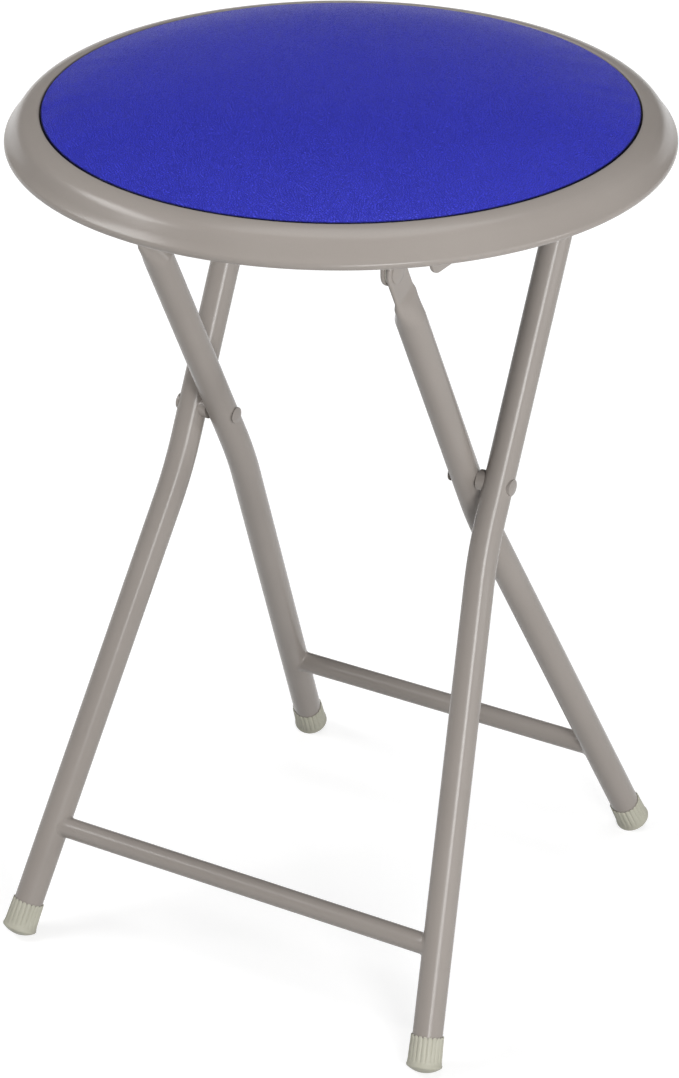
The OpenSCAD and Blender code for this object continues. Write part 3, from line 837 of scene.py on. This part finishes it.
def folded_rail(side):
    """Seat rail folded from one sheet: top plate, long outer flange, and inner flange with the hinge ear."""
    fold = 0.0026
    flange_h = 0.0192
    flange_gap = 0.0001
    outer_drop = 0.0014
    corner = 0.007
    relief = 0.0008
    inner_rear = 0.058
    ear_front, ear_rear = hinge.y - ear_r, hinge.y + 0.026
    middle = rail_t / 2
    out_x, in_x = rail_high.x - middle, rail_low.x + middle
    top = rail_high.z - middle
    low = top - flange_h + middle + flange_gap
    outer_low = low - outer_drop
    front, rear = rail_low.y, rail_high.y
    outer = [(rear, top - fold), (front, top - fold)]
    outer += arc(front + corner, outer_low + corner, corner, 180, 270, 10)
    outer += arc(rear - corner, outer_low + corner, corner, 270, 360, 10)
    inner = [(inner_rear, top - fold), (ear_front, top - fold)]
    inner += arc(hinge.y, hinge.z, ear_r, 180, 335, 20) + [(ear_rear, low)]
    inner += arc(inner_rear - corner, low + corner, corner, 270, 360, 10)
    plate = [(out_x - fold, front), (in_x, front), (in_x, ear_front - relief),
             (in_x + fold, ear_front - relief), (in_x + fold, ear_front), (in_x + fold, inner_rear),
             (in_x + fold, inner_rear + relief), (in_x, inner_rear + relief), (in_x, rear),
             (out_x - fold, rear)]
    points = [(out_x, y, z) for y, z in outer]
    inner_base = len(points)
    points += [(in_x, y, z) for y, z in inner]
    plate_base = len(points)
    points += [(x, y, top) for x, y in plate]
    faces = [tuple(range(inner_base)), tuple(range(inner_base, plate_base)),
             tuple(range(plate_base, len(points)))]
    # Each fold: its centre, its angles, the flange's front and rear corners and the plate's rear and front
    folds = [(out_x - fold, 0, 90, 1, 0, plate_base + 9, plate_base),
             (in_x + fold, 180, 90, inner_base + 1, inner_base, plate_base + 5, plate_base + 4)]
    steps = 8
    for centre_x, start, end, low_front, low_rear, high_rear, high_front in folds:
        last = (low_front, low_rear)
        front_y, rear_y = points[low_front][1], points[low_rear][1]
        for x, z in arc(centre_x, top - fold, fold, start, end, steps)[1:-1]:
            this = (len(points), len(points) + 1)
            points += [(x, front_y, z), (x, rear_y, z)]
            faces.append((*last, *this[::-1]))
            last = this
        faces.append((*last, high_rear, high_front))
    mesh = mesh_of([(side * x, y, z) for x, y, z in points], faces)
    face_outward(mesh)
    mesh = modified(mesh, "SOLIDIFY", thickness=rail_t, offset=0.0, use_even_offset=True)
    mesh = modified(mesh, "BEVEL", width=0.00035, segments=2, limit_method="ANGLE",
                    angle_limit=math.radians(50))
    piece("seat_rail_sheet_" + hand(side), mesh, paint, "seat", ["seat_rail_" + hand(side)])


def catch(side):
    """Moulded saddle under the board that the cross tube swings into."""
    gap_r = tube_r + tube_gap
    cross_y = catch_high.y - catch_wall - gap_r
    cross_z = catch_high.z - rail_t - gap_r
    top, low = catch_high.z, catch_low.z
    arm_y = cross_y - gap_r - catch_wall
    lead_angle = 35
    lead = math.radians(lead_angle)
    mouth_y, mouth_z = cross_y - gap_r * math.cos(lead), cross_z + gap_r * math.sin(lead)
    run = (mouth_z - low) / math.cos(lead)
    outline = [(catch_low.y, top), (catch_low.y, top - catch_base), (arm_y - catch_base, top - catch_base),
               (arm_y, top - 2 * catch_base), (arm_y, low), (mouth_y - run * math.sin(lead), low)]
    outline += arc(cross_y, cross_z, gap_r, 180 - lead_angle, 0, 28)
    outline += [(cross_y + gap_r, low), (catch_high.y, low), (catch_high.y, top)]
    rings = [[(x, y, z) for y, z in outline] for x in sorted((side * catch_low.x, side * catch_high.x))]
    mesh = modified(mesh_of(*loft(rings)), "BEVEL", width=0.0004, segments=2, limit_method="ANGLE",
                    angle_limit=math.radians(40))
    piece("catch_saddle_" + hand(side), mesh, black, "seat", ["catch_" + hand(side)])


# Fasteners


def screw_shape():
    """Pan head with a cross recess, head down, its shank up into the board."""
    head_r, screw_head_h, shank_r, length, tip_l = 0.0035, 0.0018, 0.0016, 0.008, 0.002
    slot_w, slot_l, slot_h = 0.00045, 0.0019, 0.0010
    steps = 48
    turns = [2 * math.pi * (i + 0.5) / steps for i in range(steps)]
    rings = []
    for share in (0.02, 0.1, 0.2, 0.3, 0.4, 0.5, 0.6, 0.7, 0.8, 0.88, 0.95, 0.99):
        ring = []
        for turn in turns:
            x, y = polar(head_r * share, turn)
            arm = min(abs(x), abs(y)) < slot_w and max(abs(x), abs(y)) < slot_l
            ring.append((x, y, -screw_head_h * math.sqrt(1 - share ** 2.6) + (slot_h if arm else 0.0)))
        rings.append(ring)
    below = ((head_r, -0.0002), (head_r, 0.0), (shank_r, 0.0), (shank_r, length - tip_l), (0.0002, length))
    rings += [[(*polar(r, turn), z) for turn in turns] for r, z in below]
    return mesh_of(*loft(rings))


def screws():
    """Screws of the rails, the catches and the rim, each driven to its own angle."""
    shape = screw_shape()
    rail_x = (rail_low.x + rail_high.x) / 2
    catch_x, catch_to_screw = 0.035, 0.017
    catch_y = catch_high.y - 2 * (tube_r + tube_gap) - 2 * catch_wall - catch_to_screw
    ring_r = ledge_r + ledge_w / 2
    places = {
        "rail_screws": [(side * rail_x, y, rail_high.z - rail_t)
                        for side in (-1, 1) for y in (-0.064, -0.022, 0.022, 0.062)],
        "catch_screws": [(side * catch_x, catch_y, catch_high.z - catch_base) for side in (-1, 1)],
        "rim_screws": [(*polar(ring_r, math.radians(30 + 60 * i)), ledge_z - rim_t) for i in range(6)],
    }
    for name, spots in places.items():
        turns = [(0.0, 0.0, 0.7 + 1.9 * i) for i in range(len(spots))]
        piece(name + "_zinc", scatter(shape, spots, turns, zinc), zinc, "seat", [name])


def staples():
    """Flat-crown staples through the cloth and the turned vinyl."""
    half, leg, wire, bend = 0.0045, 0.005, 0.0004, 0.0009
    line = [(-half + wire, 0, leg), (-half + wire, 0, -wire), (half - wire, 0, -wire), (half - wire, 0, leg)]
    shape = tube(line, [0.0, bend, bend, 0.0], wire, Matrix.Rotation(math.pi / 2, 4, "Z"), steps=5, sides=8)
    ring_r = (liner_high.x + cushion_r - hem_w) / 2
    side_arc = math.acos((rail_high.x + half) / ring_r)
    end_arc = math.asin((rail_high.y + half) / ring_r)
    turns = [side_arc * (i - 1) for i in range(3)]
    turns += [end_arc + (math.pi - 2 * end_arc) * i / 4 for i in range(5)]
    turns += [turn + math.pi for turn in turns]
    places = [(*polar(ring_r, turn), liner_low.z) for turn in turns]
    mesh = scatter(shape, places, [(0.0, 0.0, turn) for turn in turns], zinc)
    piece("liner_staples_wire", mesh, zinc, "seat", ["liner_staples"])


def dome(radius, height, edge, base):
    """Outline of a rivet's low head from its rim inwards, standing on the height base."""
    rise = height - edge
    big = (radius ** 2 + rise ** 2) / (2 * rise)
    reach = math.degrees(math.asin(radius / big))
    soft = 0.00025
    line = [(radius, base), (radius, base + edge - soft)]
    return line + arc(0, base + height - big, big, 90 - reach * 0.985, 90, 14)


def rivets(name, body, shank_r, start_x, end_x, centre, head, tail):
    """A rivet on each side of the stool, from start_x out to end_x, with a domed head and tail."""
    length = end_x - start_x
    outline = [(r, -z) for r, z in dome(*tail, 0.0)][::-1]
    outline += [(shank_r, 0.0), (shank_r, length)] + dome(*head, length)
    shape = lathe([(max(r, 0.00002), z) for r, z in outline], 48)
    places = [(side * start_x, centre.y, centre.z) for side in (-1, 1)]
    turns = [(0.0, side * math.pi / 2, 0.0) for side in (-1, 1)]
    piece(name + "s", scatter(shape, places, turns, paint), paint, body, [name + "_left", name + "_right"])


# Frames


def section(a, b, flat):
    """Closed section of half sizes a and b: an oval where flat is 0, a flattened tube where it is 1."""
    steps = 64
    quarter = math.pi / 2
    points = []
    for k in range(steps):
        turn = 2 * math.pi * k / steps
        sector = math.floor((turn + quarter / 2) / quarter) % 4
        part = (turn + quarter / 2) % quarter / quarter
        if sector in (0, 2):
            p, q = a, (b - a) * (2 * part - 1)
            p, q = (p, q) if sector == 0 else (-p, -q)
        else:
            p, q = a * math.cos(math.pi * part), b - a + a * math.sin(math.pi * part)
            p, q = (p, q) if sector == 1 else (-p, -q)
        points.append((a * math.cos(turn) * (1 - flat) + p * flat,
                       b * math.sin(turn) * (1 - flat) + q * flat))
    return points


def inner_leg(side):
    """Splayed tube with a bend, an upright tube and a flattened top round the hinge."""
    foot_s, bend_s, hinge_s = on_inner(0), on_inner(bend_z), on_inner(hinge.z)
    round_s = hinge_s - flat_l - flat_blend
    tangent = bend_radius * math.tan(inner_splay / 2)
    rings = []

    def add(x, s, tilt, a, b, flat):
        rings.append([(side * (x + p * math.cos(tilt)), q, s + p * math.sin(tilt))
                      for p, q in section(a, b, flat)])

    foot_x = inner_half_w + (bend_s - foot_s) * math.tan(inner_splay)
    tip = cap_edge_height(inner_lean, inner_splay) + tube_start
    add(foot_x - tip * math.sin(inner_splay), foot_s + tip * math.cos(inner_splay), inner_splay,
        tube_r, tube_r, 0)
    bend_steps = 24
    for i in range(bend_steps + 1):
        tilt = inner_splay * (1 - i / bend_steps)
        add(inner_half_w + bend_radius * (1 - math.cos(tilt)),
            bend_s + tangent - bend_radius * math.sin(tilt), tilt, tube_r, tube_r, 0)
    swell = 1 - swell_l / flat_blend
    heights = np.linspace(-run_out, 1 + run_out, 53)
    thick = np.interp(heights, (0, swell, 1), (tube_r, swell_t / 2, flat_t / 2))
    wide = np.interp(heights, (0, swell, 1), (tube_r, swell_w / 2, flat_w / 2))
    # Each ring takes a weighted mean of the five sizes round it
    soft = np.array((1, 2, 3, 2, 1)) / 9
    for i in range(2, len(heights) - 2):
        a, b = (float((line[i - 2:i + 3] * soft).sum()) for line in (thick, wide))
        share = min(1.0, max(0.0, heights[i]))
        add(inner_half_w + flat_shift * share, round_s + heights[i] * flat_blend, 0, a, b, share ** 3)
    for q, up in arc(0, 0, flat_w / 2, 0, leg_end_angle, 21):
        add(inner_half_w + flat_shift, hinge_s + up, 0, flat_t / 2, q, 1)
    piece("inner_leg_tube_" + hand(side), mesh_of(*loft(rings), in_inner_frame), paint, "inner_frame",
          ["inner_leg_" + hand(side)])


def outer_frame():
    """Both outer legs and the cross tube between them, bent from one tube."""
    foot_s, bend_s = on_outer(0), on_outer(bend_z)
    cross_s = on_outer(cross_tube_z)
    foot_x = outer_half_w + (bend_s - foot_s) * math.tan(outer_splay)
    tip = cap_edge_height(outer_lean, outer_splay) + tube_start
    half = [(foot_x - tip * math.sin(outer_splay), foot_s + tip * math.cos(outer_splay)),
            (outer_half_w, bend_s), (outer_half_w, cross_s)]
    line = [(-x, 0, s) for x, s in half] + [(x, 0, s) for x, s in half[::-1]]
    bends = [0.0, bend_radius, corner_radius, corner_radius, bend_radius, 0.0]
    piece("outer_frame_tube", tube(line, bends, tube_r, in_outer_frame), paint, "outer_frame",
          ["outer_leg_left", "outer_leg_right", "outer_top_tube"])


def stretcher(name, body, half_w, splay, bend_s, s, place):
    """Cross tube between two legs, with a narrow weld round each end."""
    steps = 48
    profile = ((stretcher_r, 0.004), (stretcher_r, weld_w), (stretcher_r + weld_w * 0.12, weld_w * 0.5),
               (stretcher_r + weld_w * 0.42, weld_w * 0.14), (stretcher_r + weld_w * 0.8, -0.0003))
    rings = []
    for side in (-1, 1):
        ends = []
        for r, back in profile:
            ring = []
            for i in range(steps):
                up, y = polar(r, 2 * math.pi * i / steps)
                axis_x = half_w + (bend_s - s - up) * math.tan(splay)
                x = axis_x - math.sqrt(tube_r ** 2 - y ** 2) / math.cos(splay) - back
                ring.append((side * x, y, s + up))
            ends.append(ring)
        rings += ends[::-1] if side < 0 else ends
    piece(name + "_tube", mesh_of(*loft(rings), place), paint, body, [name])


def cap_edge_height(lean, splay):
    """Height of the edge of a foot cap's dome along its leg, from where the leg's axis meets the floor."""
    rise = math.sqrt(cap_dome_radius ** 2 - cap_base_r ** 2)
    return (cap_dome_radius - floor_sink) / math.cos(lean) / math.cos(splay) - rise


def cap_outline(edge):
    """Radius, height and share of the flutes' depth along a foot cap: from the middle of its foot, up its
    outside, over its top edge and down its bore."""
    middle = edge + math.sqrt(cap_dome_radius ** 2 - cap_base_r ** 2)
    lines = []
    for share in (0.01, 0.1, 0.2, 0.3, 0.4, 0.5, 0.6, 0.7, 0.8, 0.9, 0.97):
        r = cap_base_r * share
        lines.append((r, middle - math.sqrt(cap_dome_radius ** 2 - r ** 2), 0.0))
    lines += [(cap_base_r, edge + 0.0002, 0.0), (cap_base_r, edge + 0.0009, 0.0),
              (cap_base_r - 0.0002, edge + 0.0012, 0.0), (cap_foot_r + 0.0001, edge + 0.0022, 0.0),
              (cap_foot_r, edge + 0.0026, 0.3), (cap_foot_r, edge + 0.0030, 1.0)]
    for share in (0.3, 0.6, 0.85):
        r = cap_foot_r + (cap_top_r - cap_foot_r) * share
        lines.append((r, edge + 0.003 + (cap_l - 0.0035) * share, 1.0))
    top = edge + cap_l
    lines += [(cap_top_r, top - 0.0004, 1.0), (cap_top_r - 0.00015, top - 0.0001, 1.0),
              (cap_top_r - 0.0003, top, 1.0), (cap_bore_r + 0.0001, top - 0.0001, 0.0),
              (cap_bore_r, top - 0.0008, 0.0), (cap_bore_r, edge + cap_floor, 0.0),
              (cap_bore_r * 0.02, edge + cap_floor, 0.0)]
    return lines


def foot_cap(name, body, side, lean, splay, half_w, place):
    """Fluted cap on a leg's end: a domed foot, a flared base, a sleeve with grooves and a scalloped top."""
    edge = cap_edge_height(lean, splay)
    steps = flutes * flute_steps
    groove_w = 1.3
    scallop_reach = 0.002
    foot_s = -pivot.z / math.cos(lean)
    sit = place @ Matrix.Translation((half_w, 0, foot_s)) @ Matrix.Rotation(-splay, 4, "Y")
    grooves = [math.exp(-((i % flute_steps - flute_steps / 2) / groove_w) ** 2) for i in range(steps)]
    rings = []
    for r, z, fluted in cap_outline(edge):
        near_top = min(1.0, max(0.0, (z - edge - cap_l) / scallop_reach + 1))
        rings.append([(*polar(r - flute_depth * groove * fluted, 2 * math.pi * i / steps),
                       z - scallop_h * groove * near_top) for i, groove in enumerate(grooves)])
    mesh = mesh_of(*loft(rings), sit)
    for vertex in mesh.vertices:
        vertex.co.z = max(0.0, vertex.co.z)
        vertex.co.x *= side
    piece(name + "_cap_" + hand(side), mesh, ivory, body, [name + "_" + hand(side)])


seat_rim()
seat_cushion()
seat_liner()
screws()
staples()
outer_frame()
stretcher("outer_stretcher", "outer_frame", outer_half_w, outer_splay, on_outer(bend_z),
          on_outer(outer_stretcher_z), in_outer_frame)
stretcher("inner_stretcher", "inner_frame", inner_half_w, inner_splay, on_inner(bend_z),
          on_inner(inner_stretcher_z), in_inner_frame)
for side in (-1, 1):
    folded_rail(side)
    catch(side)
    inner_leg(side)
    foot_cap("outer_foot", "outer_frame", side, -outer_lean, outer_splay, outer_foot_half_w, in_outer_frame)
    foot_cap("inner_foot", "inner_frame", side, inner_lean, inner_splay, inner_foot_half_w, in_inner_frame)

rivets("hinge_rivet", "inner_frame", hinge_rivet_r, rail_low.x - rivet_gap,
       inner_half_w + flat_shift + flat_t / 2, hinge,
       (hinge_head_r, hinge_head_h, head_edge), (hinge_tail_r, hinge_tail_h, head_edge))
# The pivot rivets' outer heads reach down round their tube by the height of the saddle
saddle = tube_r - math.sqrt(tube_r ** 2 - pivot_head_r ** 2) + 0.0001
rivets("pivot_rivet", "outer_frame", pivot_rivet_r, inner_half_w - tube_r - rivet_gap,
       outer_half_w + tube_r - saddle, pivot,
       (pivot_head_r, pivot_head_h + saddle, pivot_head_edge + saddle),
       (pivot_head_r, pivot_head_h, pivot_head_edge))

# Solids of the frame that show as they are
for node, material in (("seat_board", plywood), ("hinge_washer_left", nylon), ("hinge_washer_right", nylon),
                       ("pivot_spacer_left", paint), ("pivot_spacer_right", paint)):
    thing = frame["nodes"][node]
    for place in thing.material_slots:
        place.material = material
    thing.data.shade_smooth()
